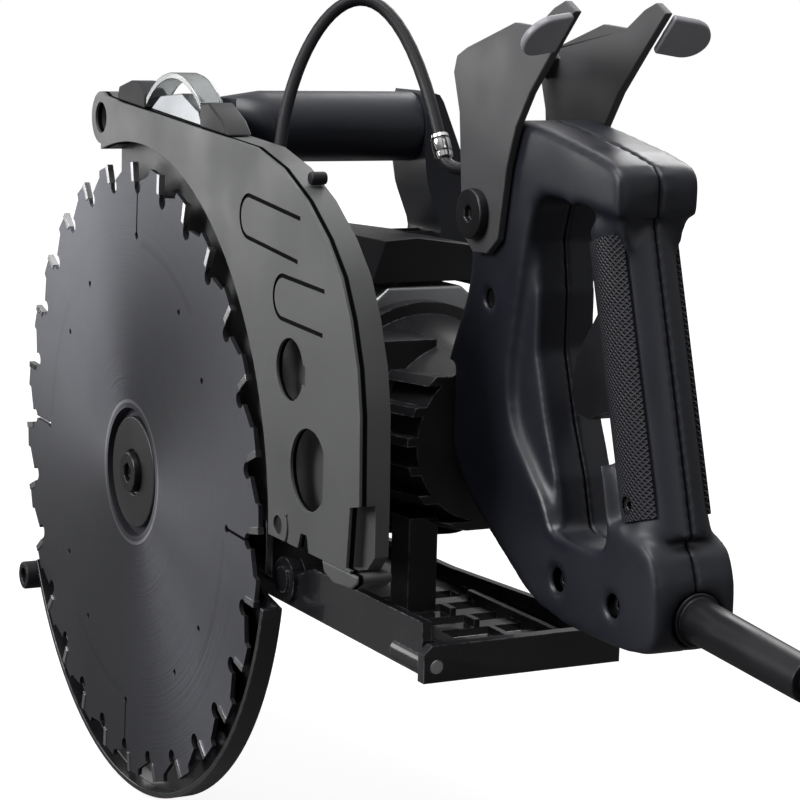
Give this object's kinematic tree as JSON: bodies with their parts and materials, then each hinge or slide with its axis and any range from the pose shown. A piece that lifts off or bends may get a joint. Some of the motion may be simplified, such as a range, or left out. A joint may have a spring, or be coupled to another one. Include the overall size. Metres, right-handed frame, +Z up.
{
  "type": "worm drive circular saw",
  "caption": "Worm drive circular saw with toothed blade, upper and lower guards, tilting foot, D handle, top handle, rafter hook and coiled cord.",
  "frame": {"origin": "on the foot's sole plane, 52 mm right of the blade's outer face and level with the arbor along Y", "axes": "+Z up, +Y forward in the direction of cut, +X to the motor side"},
  "size_m": [0.2083, 0.693, 0.3379],
  "materials": {
    "foot_black": "semi-gloss black paint",
    "plain_steel": "machined",
    "lever_black": "moulded",
    "guard_grey": "satin powder coat",
    "dark_steel": "black oxide",
    "clear_lens": "clear",
    "clip_black": "moulded",
    "reflector": "polished",
    "cable_black": "satin",
    "cast_magnesium": "cast, satin",
    "fin_black": "moulded",
    "stator_steel": "laminated",
    "handle_black": "satin moulded",
    "pad_rubber": "textured",
    "switch_grey": "moulded",
    "trigger_black": "moulded",
    "arm_black": "satin",
    "hook_grey": "powder coat",
    "tab_grey": "powder coat",
    "button_black": "moulded",
    "blade_coating": "coated, satin",
    "carbide": "ground",
    "bronze": "machined",
    "copper": "enamelled",
    "fan_grey": "moulded",
    "lower_guard_black": "satin",
    "cord_rubber": "satin"
  },
  "bodies": {
    "foot": {"foot_plate": "foot_black", "foot_pins": "plain_steel", "bevel_quadrant": "foot_black"},
    "saw": {"depth_clamp": "plain_steel", "upper_guard": "guard_grey", "guard_heel": "guard_grey", "guard_bolts": "dark_steel", "lamp_lens": "clear_lens", "lamp_clips": "clip_black", "lamp_reflector": "reflector", "lamp_cable": "cable_black", "gear_housing": "cast_magnesium", "gear_cover": "cast_magnesium", "nose_ring": "dark_steel", "housing_screws": "dark_steel", "arbor_bearings": "plain_steel", "motor_bearings": "plain_steel", "motor_barrel": "cast_magnesium", "fin_housing": "fin_black", "field_stator": "stator_steel", "brush_gear": "fin_black", "handle_left": "handle_black", "handle_right": "handle_black", "grip_pads": "pad_rubber", "handle_screws": "dark_steel", "switch_block": "switch_grey", "top_handle_bar": "handle_black", "top_handle_arm": "arm_black", "handle_bracket": "arm_black", "hook_pivots": "dark_steel", "lock_spring": "plain_steel", "guard_spring": "plain_steel", "cord_relief": "cord_rubber", "cord_run": "cord_rubber", "cord_coil": "cord_rubber", "coil_tie": "cord_rubber", "cord_plug": "cord_rubber"},
    "tilt_frame": {"tilt_rail": "foot_black", "depth_strut": "plain_steel"},
    "bevel_lever": {"bevel_lever": "lever_black"},
    "depth_lever": {"depth_lever": "lever_black"},
    "hook": {"rafter_hook": "hook_grey", "hook_tabs": "tab_grey"},
    "trigger": {"trigger": "trigger_black"},
    "lock_button": {"spindle_lock": "button_black"},
    "spindle": {"blade": "blade_coating", "carbide_tips": "carbide", "outer_flange": "dark_steel", "inner_flange": "plain_steel", "blade_bolt": "dark_steel", "arbor_shaft": "plain_steel", "worm_wheel": "bronze"},
    "armature": {"motor_shaft": "plain_steel", "worm": "plain_steel", "armature_core": "stator_steel", "armature_windings": "copper", "commutator": "copper", "fan": "fan_grey"},
    "lower_guard": {"lower_guard": "lower_guard_black", "guard_bumper": "lower_guard_black"}
  },
  "joints": [
    {"name": "bevel_tilt", "type": "hinge", "parent": "foot", "child": "tilt_frame", "pos_m": [-0.035, 0, 0.0055], "axis": [0, -1, 0], "range_deg": [0, 45]},
    {"name": "depth_swing", "type": "hinge", "parent": "tilt_frame", "child": "saw", "pos_m": [-0.028, 0.118, 0.018], "axis": [-1, 0, 0], "range_deg": [0, 38]},
    {"name": "blade_spin", "type": "hinge", "parent": "saw", "child": "spindle", "pos_m": [-0.047, 0, 0.03], "axis": [1, 0, 0], "continuous": true},
    {"name": "armature_spin", "type": "hinge", "parent": "saw", "child": "armature", "pos_m": [0.022, -0.06, 0.068], "axis": [0, 1, 0], "continuous": true},
    {"name": "guard_swing", "type": "hinge", "parent": "saw", "child": "lower_guard", "pos_m": [-0.044, 0, 0.03], "axis": [-1, 0, 0], "range_deg": [0, 104], "stiffness_Nm_per_rad": 0.35, "springref_deg": -68.75},
    {"name": "trigger_pull", "type": "hinge", "parent": "saw", "child": "trigger", "pos_m": [0.022, -0.262, 0.124], "axis": [-1, 0, 0], "range_deg": [0, 8], "stiffness_Nm_per_rad": 3, "springref_deg": -5.73},
    {"name": "lock_press", "type": "slide", "parent": "saw", "child": "lock_button", "axis": [0, 0, -1], "range_m": [0, 0.0045], "stiffness_N_per_m": 800, "springref_m": -0.002, "deforming": ["lock_spring"]},
    {"name": "hook_swing", "type": "hinge", "parent": "saw", "child": "hook", "pos_m": [0.022, -0.192, 0.155], "axis": [1, 0, 0], "range_deg": [0, 35]},
    {"name": "depth_lever_turn", "type": "hinge", "parent": "saw", "child": "depth_lever", "pos_m": [-0.027, -0.09618, 0.03674], "axis": [-1, 0, 0], "range_deg": [0, 35]},
    {"name": "bevel_lever_turn", "type": "hinge", "parent": "tilt_frame", "child": "bevel_lever", "pos_m": [0.00259, 0.139, 0.01918], "axis": [0, -1, 0], "range_deg": [0, 50]}
  ],
  "couplings": [
    {"joint": "armature_spin", "follows": "blade_spin", "ratio": -5}
  ]
}
